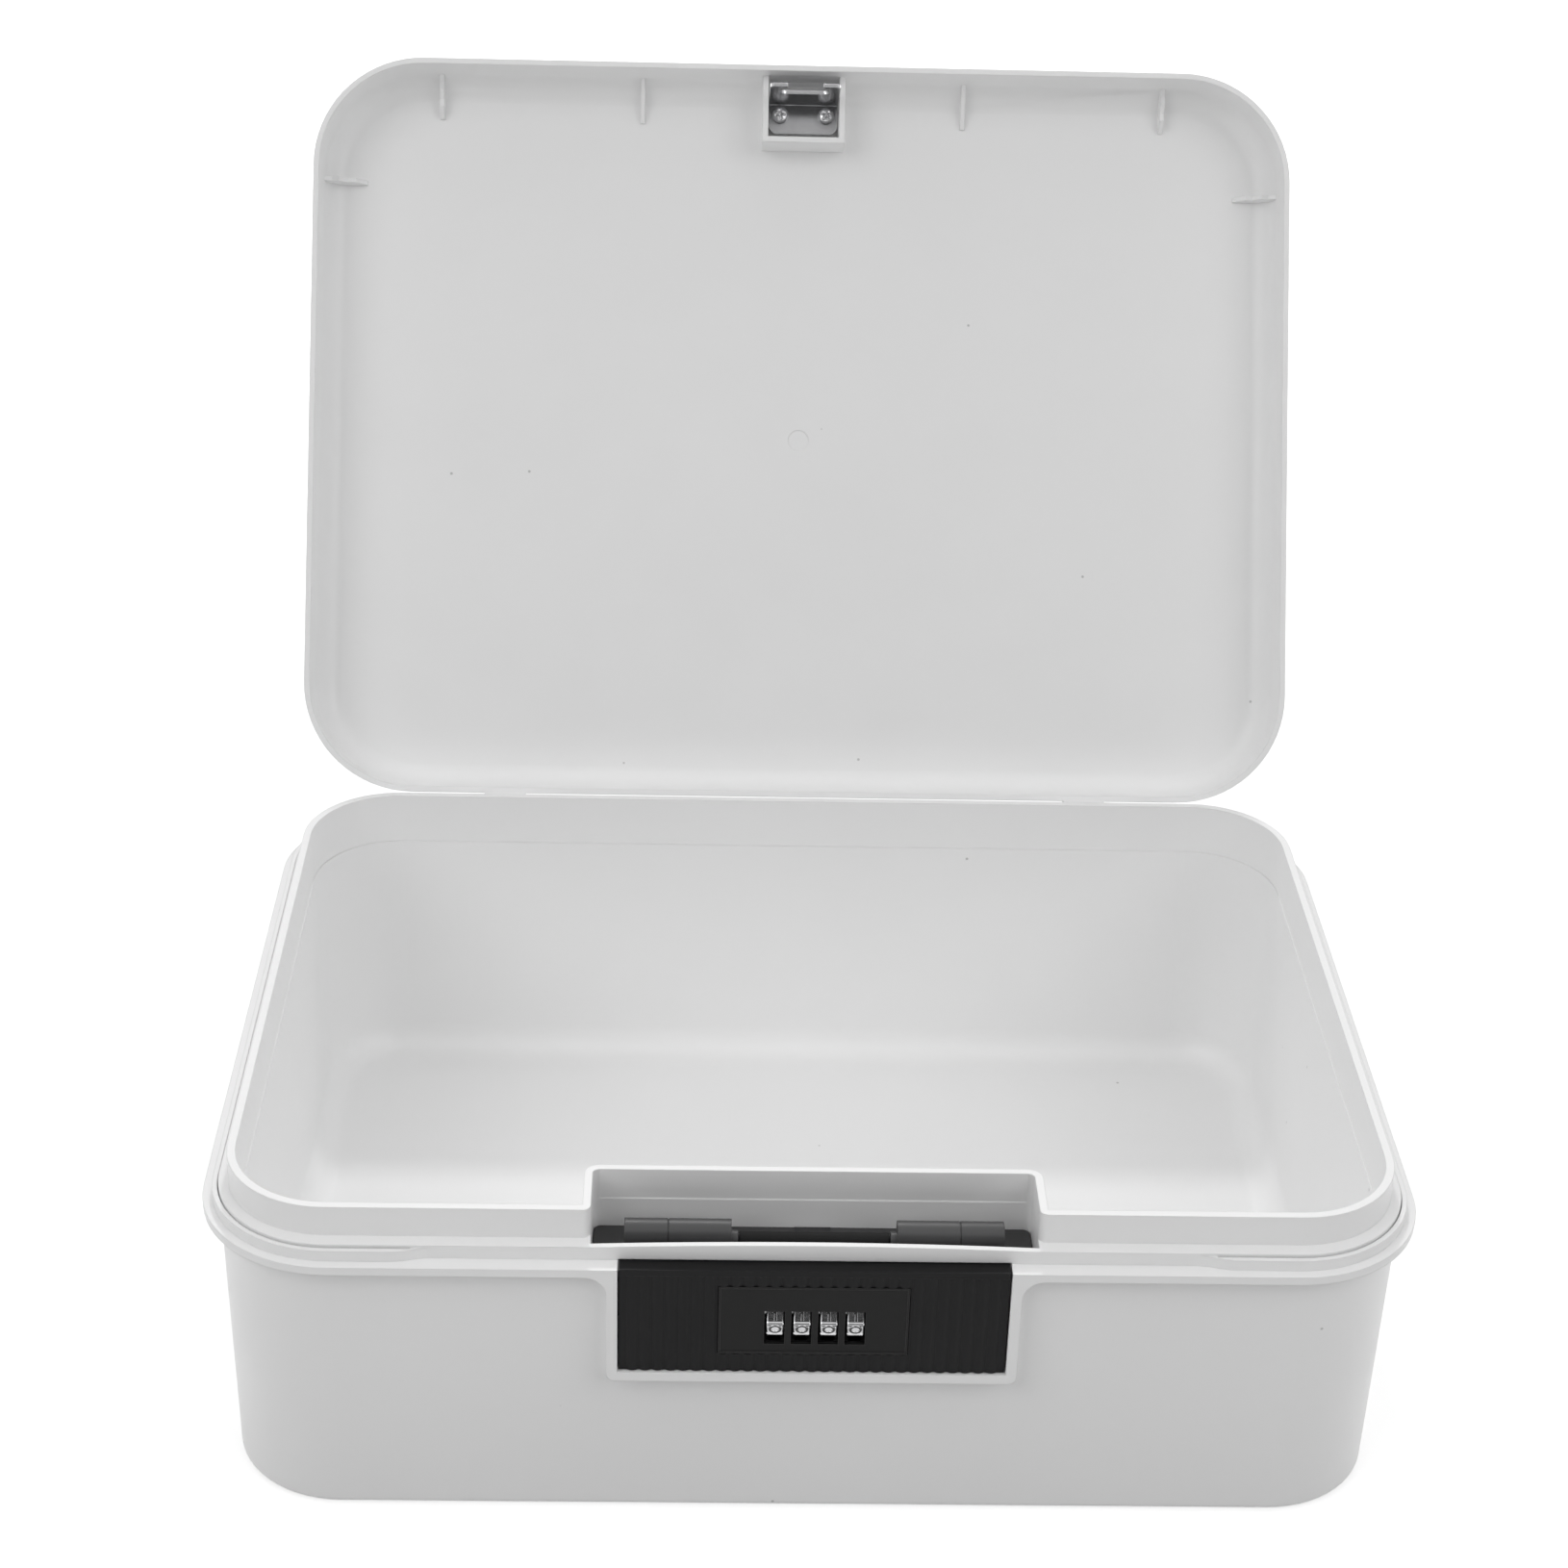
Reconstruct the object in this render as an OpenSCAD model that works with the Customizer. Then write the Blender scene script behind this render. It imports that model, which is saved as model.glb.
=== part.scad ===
// Lockable storage box: a moulded tub with a stepped rim, a hinged lid and a
// four-dial push-panel lock in the front wall. Origin at the centre of the
// underside, +Z up, +Y to the back. The lid is drawn standing open.

/* [Base] */
// Width of the base over its flange, left to right
base_w = 340; // [300:1:380]
// Depth of the base over its flange, front to back
base_d = 255.1; // [240:0.1:290]
// Height of the flange's top face above the table
flange_z = 86.8; // [84:0.1:100]
// Thickness of the flange
flange_t = 2.6; // [2:0.1:3.2]
// Corner radius of the flange in plan
corner_r = 38; // [36:0.5:42]
// Thickness of the tub's front wall round the lock pocket
wall_t = 2.4; // [2:0.1:2.8]
// Thickness of the tub's floor
floor_t = 2.4; // [2:0.1:3]
// Step in from the flange edge to the outside wall just under it
wall_inset = 4.6; // [4:0.1:5.4]
// Lean of the outside wall from the flange down to the table
wall_lean = 1.6; // [0.8:0.1:2.4]
// Radius round the underside edge
edge_r = 1.8; // [1:0.1:2.2]
// Radius inside the tub between floor and walls
floor_r = 9; // [6:0.5:12]

/* [Rim] */
// Height of the inner collar above the flange
collar_h = 13.3; // [11:0.1:16]
// Thickness of the collar
collar_t = 2.4; // [2:0.1:2.8]
// Distance of the collar from the flange edge at front and back
collar_in = 9.2; // [8.8:0.1:10]
// Distance of the collar from the flange edge at the sides
collar_in_side = 7.2; // [6.8:0.1:8]
// Height of the step at the collar's foot
step_h = 4.1; // [3.6:0.1:5]
// Distance of the step from the flange edge at front and back
step_in = 4.85; // [4.75:0.05:5.2]
// Distance of the step from the flange edge at the sides
step_in_side = 4.5; // [4.4:0.1:5]
// Height of the sealing lip above the flange
lip_h = 3.3; // [2.6:0.1:3.5]
// Thickness of the sealing lip
lip_t = 1.45; // [1.2:0.05:1.5]
// Distance of the lip from the flange edge at front and back
lip_in = 3; // [2.95:0.05:3.1]
// Distance of the lip from the flange edge at the sides
lip_in_side = 2.75; // [2.7:0.05:2.8]
// Half length of the finger gap where the lip is left out
gap_half = 104; // [95:1:110]
// Height by which the strip over the window bows up in the middle
bow_h = 1.15; // [0.6:0.05:1.4]
// Ledge inside the tub at the collar's foot
ledge = 0.4; // [0.3:0.1:1]

/* [Lid] */
// Depth inside the lid
lid_depth = 21; // [19:0.5:28]
// Thickness of the lid's top skin
lid_skin = 2.2; // [1.8:0.1:2.8]
// Thickness of the lid's skirt
skirt_t = 1.9; // [1.6:0.1:2]
// Outside radius round the lid's top edge
lid_edge_r = 10; // [8:0.5:11]
// Angle at which the lid stands open
lid_open = 119.6; // [100:0.1:120]
// Gap between the closed lid and the flange
lid_gap = 0.3; // [0.2:0.05:0.5]

/* [Hinges] */
// Distance of each hinge from the middle
hinge_x = 100; // [70:1:110]
// Radius of the hinge knuckles
knuckle_r = 4.6; // [4.3:0.1:4.8]
// Width of the lid's knuckle
knuckle_w = 14; // [10:0.5:18]
// Width of each knuckle on the base
base_knuckle_w = 10; // [7:0.5:12]
// Radius of the hinge pins
pin_r = 1.5; // [1.2:0.1:1.8]

/* [Lock pocket] */
// Width of the finger notch in the front
notch_w = 122; // [121:0.5:126]
// Distance from the flange edge back to the pocket's rear wall
notch_d = 28.15; // [28:0.05:32]
// Width of the window for the release panel
window_w = 107; // [104:0.5:108]
// Height of the release panel
panel_h = 34; // [33.5:0.1:35]
// Thickness of the strip over the window
strip_t = 1.8; // [1.5:0.1:1.8]
// Width of the raised frame round the window
frame_w = 3.1; // [2.5:0.1:3.6]

/* [Lock] */
// Travel of the release panel
press = 2.5; // [2:0.1:2.6]
// Pitch of the grip ribs on the panel
rib_pitch = 3.53; // [3:0.01:4.2]
// Pitch of the number dials
dial_pitch = 7.35; // [7.2:0.05:7.5]
// Width of each number dial
dial_w = 4.6; // [4.2:0.1:4.7]
// Radius of the number dials to their corners
dial_r = 7.2; // [6.8:0.1:7.3]
// Reach of the latch hook from its shaft
hook_reach = 7.6; // [7.2:0.1:7.8]
// Width of the latch hook
hook_w = 15; // [13.5:0.5:15.5]
// Radius of the latch shaft
shaft_r = 1.25; // [1:0.05:1.4]
// Thickness of the striker bracket
striker_t = 1.3; // [1:0.1:1.4]

/* [Hidden] */
shell_tone = [0.93, 0.93, 0.92];
black_tone = [0.1, 0.1, 0.1];
metal_tone = [0.75, 0.75, 0.77];
clip = 0.02;
run = 0.06;
gap = 0.3;
over = 1;
fy = -base_d / 2;
by = base_d / 2;
cx = base_w / 2 - corner_r;
cy = base_d / 2 - corner_r;
top_r = corner_r - wall_inset;
under_z = flange_z - flange_t;
jog_z = flange_z - 3.8;
slope = wall_lean / under_z;
collar_z = flange_z + collar_h;
step_z = flange_z + step_h;
strip_y = fy + step_in + strip_t;
pocket_y = fy + notch_d;
pocket_r = 1.5;
striker_screw_x = 8.1;
striker_screw_in = 14;
face_down = 9.2;
face_up = 13.3;
gate_left = 14;
gate_right = 18;
inner_r = corner_r - 8.2 - collar_t;
inner_x = base_w / 2 - collar_in_side - collar_t - inner_r;
inner_y = base_d / 2 - collar_in - collar_t - inner_r;
mid_x = 0.6;
lid_in = 0.4;
lid_z = flange_z + lid_gap;
skin_z = lid_z + lid_depth;
lid_r = corner_r - lid_in;
hinge_y = by + 5.55;
hinge_z = flange_z - 0.88;
knuckle_gap = 0.35;
window_z = flange_z - panel_h - 0.4;
face_y = fy + 0.45;
panel_w = window_w - 0.8;
shaft_y = fy + 15.05;
shaft_z = flange_z;
block_z = flange_z + 1.8;
block_r = 4;
block_x0 = 22.7;
block_x1 = notch_w / 2 - 9;
bush_r = 2.4;
bush_x0 = 20.9;
bush_x1 = notch_w / 2 - 16;
hub_r = 2.1;
hook_down = 35;
dial_y = fy + 8.05;
dial_z = flange_z - 18.8;
axle_r = 1.25;
sleeve_r = 3;
disc_r = 4.6;
shelf_z = flange_z - 5.5;
frame_z = flange_z - 35.3;
striker_y = fy + lid_in + 8.5;
plate_t = 2;
standoff = 3.1;
mouth_r = collar_t - 0.2;
spring_x = 38;
boss_z = flange_z - 0.68 * panel_h;
screw_x = notch_w / 2 - 11;
screw_in = 7;
face_half = 26;
fit_in = 0.2;

// Rounded rectangle set in from the flange edge
module plan(in_x, in_y, r) {
    hx = base_w / 2 - in_x;
    hy = base_d / 2 - in_y;
    square([2 * hx - 2 * r, 2 * hy], center = true);
    square([2 * hx, 2 * hy - 2 * r], center = true);
    for (mx = [-1, 1], my = [-1, 1])
        translate([mx * (hx - r), my * (hy - r)]) circle(r);
}

// Profile of a leaning wall: x runs out from the corner centres, y is height
module lean_profile(r0, r1, z0, z1, fil) {
    run_l = sqrt((r1 - r0) * (r1 - r0) + (z1 - z0) * (z1 - z0));
    nx = (z1 - z0) / run_l;
    nz = -(r1 - r0) / run_l;
    fx = r0 - fil * (1 + nz) / nx;
    polygon([[0, z0], [fx, z0], [fx + fil * nx, z0 + fil + fil * nz], [r1, z1], [0, z1]]);
    translate([fx, z0 + fil]) circle(fil);
}

// The profile carried round corners centred at (sx, sy), with the middle filled from z0 to z1
module swept(z0, z1, sx, sy) {
    for (my = [0, 1]) mirror([0, my, 0]) {
        translate([-sx, sy, 0]) rotate([90, 0, 90]) linear_extrude(2 * sx) children();
        for (mx = [0, 1]) mirror([mx, 0, 0])
            translate([sx, sy, 0]) rotate_extrude(angle = 90) children();
    }
    for (mx = [0, 1]) mirror([mx, 0, 0])
        translate([sx, sy, 0]) rotate([90, 0, 0]) linear_extrude(2 * sy) children();
    translate([-sx, -sy, z0]) cube([2 * sx, 2 * sy, z1 - z0]);
}

// Bar along X between two ends
module bar(x0, x1, r, y, z) {
    translate([x0, y, z]) rotate([0, 90, 0]) cylinder(r = r, h = x1 - x0, $fn = 48);
}

// Box given by its low corner and its high corner
module box(a, b) {
    translate(a) cube([b[0] - a[0], b[1] - a[1], b[2] - a[2]]);
}

// Prism along X from a side view drawn as (y, z)
module side_cut(x0, x1) {
    translate([x0, 0, 0]) rotate([90, 0, 90]) linear_extrude(x1 - x0) children();
}

// Prism along Y from a front view drawn as (x, z)
module front_cut(y0, y1) {
    translate([0, y1, 0]) rotate([90, 0, 0]) linear_extrude(y1 - y0) children();
}

// Lock pocket in plan, open to the front
module pocket_plan(grow, front) {
    hw = notch_w / 2 + grow;
    back = pocket_y + grow;
    r = pocket_r + grow;
    translate([-hw, front]) square([2 * hw, back - r - front]);
    translate([r - hw, front]) square([2 * (hw - r), back - front]);
    for (m = [-1, 1]) translate([m * (hw - r), back - r]) circle(r);
}

module lip_end() {
    steps = 10;
    reach = 11;
    sweep = [for (i = [0 : steps]) let (t = i / steps)
        [gap_half + reach * t, fy + step_in + (lip_in - step_in) * (3 * t * t - 2 * t * t * t)]];
    inner = [[gap_half + reach, fy + lip_in + lip_t], [gap_half + reach / 2, fy + lip_in + lip_t],
        [gap_half + reach / 2, fy + step_in + 0.5], [gap_half, fy + step_in + 0.5]];
    polygon(concat(sweep, inner));
}

module lip_plan() {
    difference() {
        plan(lip_in_side, lip_in, corner_r - lip_in);
        plan(lip_in_side + lip_t, lip_in + lip_t, corner_r - lip_in - lip_t);
        translate([-gap_half - 11, fy - over]) square([2 * gap_half + 22, 8]);
    }
    for (m = [0, 1]) mirror([m, 0]) lip_end();
}

// Top of the strip over the window, bowed up in the middle
module bow_cut() {
    half = notch_w / 2;
    steps = 16;
    dip = bow_h + 0.05;
    z1 = step_z + bow_h;
    arc = [for (i = [0 : steps]) let (x = -half + 2 * half * i / steps)
        [x, z1 - dip * (x / half) * (x / half)]];
    polygon(concat(arc, [[half, collar_z + 5], [-half, collar_z + 5]]));
}

module window_frame() {
    hw = window_w / 2 + frame_w;
    z0 = window_z - frame_w;
    r = 2.5;
    fil = 6;
    translate([-hw, z0 + r]) square([2 * hw, under_z - z0 - r + 0.5]);
    translate([r - hw, z0]) square([2 * (hw - r), r + over]);
    for (m = [0, 1]) mirror([m, 0]) {
        translate([hw - r, z0 + r]) circle(r);
        difference() {
            translate([hw - over, under_z - fil]) square([fil + over, fil + 0.5]);
            translate([hw + fil, under_z - fil]) circle(fil);
        }
    }
}

module base_hinge() {
    w = knuckle_w + 2 * knuckle_gap + 2 * base_knuckle_w;
    for (s = [-1, 1]) translate([s * (w - base_knuckle_w) / 2, 0, 0])
        side_cut(-base_knuckle_w / 2, base_knuckle_w / 2) difference() {
            union() {
                translate([hinge_y, hinge_z]) circle(knuckle_r);
                translate([by - over, hinge_z - 3.4])
                    square([hinge_y - by + 0.6, flange_z - hinge_z + 3.2]);
            }
            translate([hinge_y, hinge_z]) circle(pin_r + clip);
        }
}

// Waste outside a rounded corner of radius r at the origin, toward -X and -Y
module corner_waste(r) {
    polygon(concat([[-r - 0.5, -r - 0.5], [-r - 0.5, 0]],
        [for (a = [180 : 15 : 270]) [r * cos(a), r * sin(a)]], [[0, -r - 0.5]]));
}

// Side view of the lock pocket's hollow, with the front wall leaning at its own thickness
module pocket_side() {
    front = wall_inset + wall_t + fy;
    polygon([[front + slope * (under_z - floor_t), floor_t], [front + slope * (under_z - jog_z), jog_z],
        [strip_y, jog_z], [strip_y, collar_z + over], [pocket_y, collar_z + over],
        [pocket_y, floor_t]]);
}

module base_tub() color(shell_tone) {
    lug_x = [42, 14];
    half = notch_w / 2;
    difference() {
        union() {
            difference() {
                union() {
                    swept(0, under_z, cx, cy)
                        lean_profile(top_r - wall_lean, top_r, 0, under_z, edge_r);
                    translate([0, 0, under_z]) linear_extrude(flange_t) plan(0, 0, corner_r);
                    translate([0, 0, flange_z]) linear_extrude(step_h)
                        plan(step_in_side, step_in, corner_r - step_in);
                    translate([0, 0, flange_z]) linear_extrude(lip_h) lip_plan();
                    translate([0, 0, step_z]) linear_extrude(collar_z - step_z)
                        plan(collar_in_side, collar_in, corner_r - 8.2);
                    box([-half, fy + step_in, step_z - over], [half, strip_y + 0.5, step_z + bow_h + 0.1]);
                    front_cut(fy, fy + wall_inset + wall_lean + over) window_frame();
                    for (s = [-1, 1]) translate([s * hinge_x, 0, 0]) base_hinge();
                }
                swept(floor_t, jog_z, inner_x, inner_y) lean_profile(
                    inner_r - ledge - slope * (jog_z - floor_t), inner_r - ledge, floor_t, jog_z,
                    floor_r);
                translate([0, 0, jog_z - 0.01]) linear_extrude(collar_z)
                    plan(collar_in_side + collar_t, collar_in + collar_t, inner_r);
                side_cut(-half, half) pocket_side();
                front_cut(fy - over, strip_y + over) bow_cut();
            }
            translate([0, 0, floor_t / 2]) linear_extrude(step_z - floor_t / 2) difference() {
                pocket_plan(collar_t - 0.1, fy + wall_inset + 2.2);
                pocket_plan(0, fy - over);
            }
            translate([0, 0, step_z]) linear_extrude(collar_z - step_z) difference() {
                pocket_plan(collar_t - 0.1, fy + collar_in);
                pocket_plan(0, fy - over);
            }
            for (x = lug_x, s = [-1, 1])
                box([s * x - 1, strip_y + 0.4, floor_t / 2], [s * x + 1, pocket_y + over, frame_z]);
        }
        box([-window_w / 2, fy - over, window_z],
            [window_w / 2, strip_y + over, flange_z + lid_gap]);
        for (m = [0, 1]) mirror([m, 0, 0])
            translate([half + mouth_r, fy + collar_in + mouth_r, step_z])
                linear_extrude(collar_h) corner_waste(mouth_r);
        box([pocket_r - half, pocket_y - over, step_z - 0.4],
            [half - pocket_r, pocket_y + 0.2, collar_z + over]);
        for (x = [-screw_x, screw_x], z = [frame_z + screw_in, shelf_z - screw_in])
            translate([x, pocket_y - over, z]) rotate([-90, 0, 0]) cylinder(r = 1.6, h = 6);
    }
}

// Points round the lid's top edge at radius r, as (distance from the skirt, height)
function edge_arc(r) = [for (a = [180 : -15 : 90])
    [lid_edge_r - skirt_t + r * cos(a), skin_z + lid_skin - lid_edge_r + r * sin(a)]];

// Rib on the inside of the lid's skirt, drawn as (distance from the skirt, height)
module clip_rib(wavy) {
    z0 = lid_z + 13.4;
    plain = [[14.6, skin_z - 0.9], [0, z0]];
    waves = [[14.6, skin_z - 0.9], [10.8, z0 + 2.9], [8.2, z0 + 3.1], [5.4, z0 + 0.8],
        [2.9, z0 + 1.3], [0, z0]];
    polygon(concat(edge_arc(lid_edge_r - 1), [[14.6, skin_z + 1]], wavy ? waves : plain));
}

module lid_hinge_arm() side_cut(-knuckle_w / 2, knuckle_w / 2) difference() {
    union() {
        translate([hinge_y, hinge_z]) circle(knuckle_r);
        translate([by - lid_in - 1.5, lid_z]) square([hinge_y - by + 1, 4.9]);
        translate([hinge_y, hinge_z]) rotate(lid_open) translate([-8, -5])
            square([5, under_z - gap - hinge_z + 5]);
    }
    translate([hinge_y, hinge_z]) circle(pin_r + run);
}

module as_open() {
    translate([0, hinge_y, hinge_z]) rotate([-lid_open, 0, 0])
        translate([0, -hinge_y, -hinge_z]) children();
}

module lid_shell() color(shell_tone) as_open() {
    skirt = fy + lid_in + skirt_t;
    boss_z0 = lid_z + 7;
    end_y = fy + lid_in + 25.2;
    difference() {
        union() {
            difference() {
                mirror([0, 0, 1]) translate([0, 0, -skin_z - lid_skin])
                    swept(0, lid_depth + lid_skin, cx, cy) lean_profile(lid_r - 0.4, lid_r, 0,
                        lid_depth + lid_skin, lid_edge_r);
                mirror([0, 0, 1]) translate([0, 0, -skin_z - lid_skin])
                    swept(lid_skin, lid_depth + lid_skin + over, cx, cy) lean_profile(
                        lid_r - 0.4 - skirt_t, lid_r - skirt_t, lid_skin,
                        lid_depth + lid_skin + over, lid_edge_r - skirt_t);
            }
            translate([0, skirt, 0]) side_cut(-14.4, 14.4)
                polygon(concat([[-0.9, boss_z0]], edge_arc(lid_edge_r - 1),
                    [[end_y - skirt, skin_z + 1], [end_y - skirt, boss_z0]]));
            for (s = [-1, 1]) {
                translate([s * 56.5, skirt, 0]) side_cut(-0.8, 0.8) clip_rib(false);
                translate([s * (base_w / 2 - 43), skirt, 0]) side_cut(-0.8, 0.8) clip_rib(true);
            }
            for (m = [0, 1]) mirror([m, 0, 0]) translate([base_w / 2 - lid_in - skirt_t,
                fy + 40, 0]) rotate([0, 0, 90]) side_cut(-0.8, 0.8) clip_rib(true);
            for (s = [-1, 1]) translate([s * hinge_x, 0, 0]) lid_hinge_arm();
        }
        difference() {
            translate([0, skirt, 0]) side_cut(-12.4, 12.4)
                polygon(concat([[0, boss_z0 - over]], edge_arc(lid_edge_r - skirt_t),
                    [[end_y - skirt - 2, skin_z], [end_y - skirt - 2, boss_z0 - over]]));
            for (s = [-1, 1]) translate([s * striker_screw_x, fy + striker_screw_in, skin_z - standoff])
                cylinder(r = 3.2, h = 5);
        }
        for (s = [-1, 1]) translate([s * striker_screw_x, fy + striker_screw_in, skin_z - standoff - over])
            cylinder(r = 1.52, h = standoff + 2);
        translate([0, 0.7, skin_z - over]) cylinder(r = 3.6, h = over + 0.25);
    }
}

module hinge_pin_left() color(metal_tone)
    bar(-hinge_x - 17.2, -hinge_x + 17.2, pin_r, hinge_y, hinge_z);

module hinge_pin_right() color(metal_tone)
    bar(hinge_x - 17.2, hinge_x + 17.2, pin_r, hinge_y, hinge_z);

module striker_face() {
    tip = flange_z - 8.8;
    barb = tip + 2.6;
    top = flange_z + 1.1;
    difference() {
        translate([-12.2, tip]) square([24.4, skin_z - standoff - tip]);
        translate([-6.1, tip - over]) square([12.2, 5]);
        translate([-8.4, barb]) square([16.8, top - 2 - barb]);
        translate([-6.4, barb]) square([12.8, top - barb]);
        for (s = [-1, 1]) translate([s * 6.4, top - 2]) circle(2);
        for (s = [-1, 1]) translate([s * 12.2, tip]) circle(0.9);
    }
}

module striker_bracket() color(metal_tone) as_open() {
    z0 = skin_z - standoff - striker_t;
    difference() {
        union() {
            front_cut(striker_y, striker_y + striker_t) striker_face();
            translate([0, 0, z0]) linear_extrude(striker_t) {
                translate([-12.2, striker_y]) square([24.4, 8]);
                translate([-9.2, striker_y]) square([18.4, 11]);
                for (s = [-1, 1]) translate([s * 9.2, striker_y + 8]) circle(3);
                translate([0, striker_y + 10]) circle(2.2);
            }
        }
        for (s = [-1, 1]) translate([s * striker_screw_x, fy + striker_screw_in, z0 - over])
            cylinder(r = 1.6, h = striker_t + 2);
    }
}

// Pan head screw with a cross recess, head down at z = 0, shank up
module pan_screw(r, head_r, length) {
    difference() {
        union() {
            cylinder(r = r, h = length);
            translate([0, 0, -2]) cylinder(r = head_r, h = 2);
        }
        for (a = [0, 90]) rotate([0, 0, a]) translate([-1.6, -0.3, -2.5]) cube([3.2, 0.6, 1.7]);
    }
}

module striker_screws() color(metal_tone) as_open()
    for (s = [-1, 1]) translate([s * striker_screw_x, fy + striker_screw_in, skin_z - standoff - striker_t])
        rotate([0, 0, 20 * s]) pan_screw(1.5, 2.85, striker_t + standoff + 0.8);

module lock_frame() color(black_tone) {
    hw = notch_w / 2 - 0.3;
    front = strip_y + 0.6;
    side_front = fy + wall_inset + wall_t + slope * (under_z - frame_z) + 0.1;
    corner = pocket_r + 0.5;
    difference() {
        union() {
            box([-hw, pocket_y - plate_t, frame_z], [hw, pocket_y, shelf_z]);
            box([-hw, front, shelf_z - plate_t], [hw, pocket_y, shelf_z]);
            for (s = [-1, 1]) box([s * (hw - 1) - 1, side_front, frame_z],
                [s * (hw - 1) + 1, pocket_y, shelf_z]);
            for (x = [-screw_x, screw_x], z = [frame_z + screw_in, shelf_z - screw_in])
                translate([x, pocket_y - 7, z]) rotate([-90, 0, 0]) cylinder(r = 3.2, h = 6);
            for (s = [-1, 1]) translate([s * spring_x, fy + 7.6, boss_z]) rotate([-90, 0, 0])
                cylinder(r = 1.8, h = notch_d - 7.6 - 0.5);
        }
        box([-20, front - over, shelf_z - plate_t - over], [20, pocket_y - 3.8, shelf_z + over]);
        for (s = [-1, 1]) {
            for (x = [block_x0 + 5.3, block_x1 - 6]) translate([s * x, shaft_y, shelf_z - 3])
                cylinder(r = 1.5 + clip, h = 4);
        }
        for (m = [0, 1]) mirror([m, 0, 0])
            translate([hw - corner, pocket_y - corner, frame_z - over])
                linear_extrude(shelf_z - frame_z + 2 * over) rotate(180) corner_waste(corner);
        for (x = [-screw_x, screw_x], z = [frame_z + screw_in, shelf_z - screw_in])
            translate([x, pocket_y - 6, z]) rotate([-90, 0, 0]) cylinder(r = 1.52, h = 8);
    }
}

module lock_frame_screws() color(metal_tone)
    for (x = [-screw_x, screw_x], z = [frame_z + screw_in, shelf_z - screw_in])
        translate([x, pocket_y + collar_t - 0.1, z]) rotate([90, 0, 0])
            pan_screw(1.5, 3, collar_t + 5);

module bearing_block(m) {
    mirror([m, 0, 0]) difference() {
        union() {
            side_cut(block_x0, block_x1) {
                translate([shaft_y, block_z]) circle(block_r);
                translate([shaft_y - block_r, shelf_z])
                    square([2 * block_r, block_z - shelf_z]);
            }
            for (x = [block_x0 + 5.3, block_x1 - 6]) translate([x, shaft_y, shelf_z - plate_t])
                cylinder(r = 1.5, h = plate_t + over);
        }
        bar(block_x0 - over, bush_x1 + 0.2, bush_r + clip, shaft_y, shaft_z);
        difference() {
            box([bush_x1 - 5.15, shaft_y - block_r - over, shelf_z + 1],
                [bush_x1 - 4.85, shaft_y + block_r + over, block_z + block_r + over]);
            bar(bush_x1 - 6, bush_x1 - 4, block_r - 0.25, shaft_y, block_z);
            box([bush_x1 - 6, shaft_y - block_r + 0.25, shelf_z],
                [bush_x1 - 4, shaft_y + block_r - 0.25, block_z]);
        }
    }
}

module bearing_block_left() color(black_tone) bearing_block(1);

module bearing_block_right() color(black_tone) bearing_block(0);

module shaft_bush(x0, x1) {
    difference() {
        bar(x0, x1, bush_r, shaft_y, shaft_z);
        bar(x0 - over, x1 + over, shaft_r + run, shaft_y, shaft_z);
    }
}

module shaft_bush_left() color(black_tone) shaft_bush(-bush_x1, -bush_x0);

module shaft_bush_right() color(black_tone) shaft_bush(bush_x0, bush_x1);

module latch_shaft() color(metal_tone)
    bar(0.4 - bush_x1, bush_x1 - 0.4, shaft_r, shaft_y, shaft_z);

module latch_hook() color(black_tone) difference() {
    union() {
        bar(0.4 - bush_x0, bush_x0 - 0.4, hub_r, shaft_y, shaft_z);
        translate([0, shaft_y, shaft_z]) rotate([hook_down, 0, 0]) side_cut(-hook_w / 2, hook_w / 2)
            polygon([[0, -1.4], [-hook_reach, -1.4], [-hook_reach, 0.2],
                [1.4 - hook_reach, 1.4], [0, 1.4]]);
    }
    bar(-bush_x0, bush_x0, shaft_r + clip, shaft_y, shaft_z);
}

module hook_leaf_spring() color(metal_tone) side_cut(-5, 5) {
    t = 0.4;
    y0 = shaft_y + hub_r + fit_in;
    y1 = pocket_y - 3.4;
    polygon([[y1 + 3, shelf_z], [y1 - 0.2, shelf_z], [y0, shaft_z - 1.8], [y0, shaft_z + 0.6],
        [y0 + t, shaft_z + 0.6], [y0 + t, shaft_z - 1.6], [y1, shelf_z + t], [y1 + 3, shelf_z + t]]);
}

// Panel front in plan: upright half-round grip ribs on a plate
module rib_plan() {
    n = floor((panel_w / 2 - 1.6) / rib_pitch);
    rib_r = 2.5;
    translate([-panel_w / 2, face_y + 0.5]) square([panel_w, 1.5]);
    for (i = [-n : n]) intersection() {
        translate([i * rib_pitch, face_y + rib_r]) circle(rib_r);
        translate([i * rib_pitch - 2, face_y - over]) square([4, 1.6]);
    }
}

module dial_windows(y0, y1) {
    for (i = [0 : 3]) translate([mid_x + (i - 1.5) * dial_pitch, 0, 0])
        box([-dial_w / 2 - 0.7, y0, dial_z - 6], [dial_w / 2 + 0.3, y1, dial_z + 5.1]);
}

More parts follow.
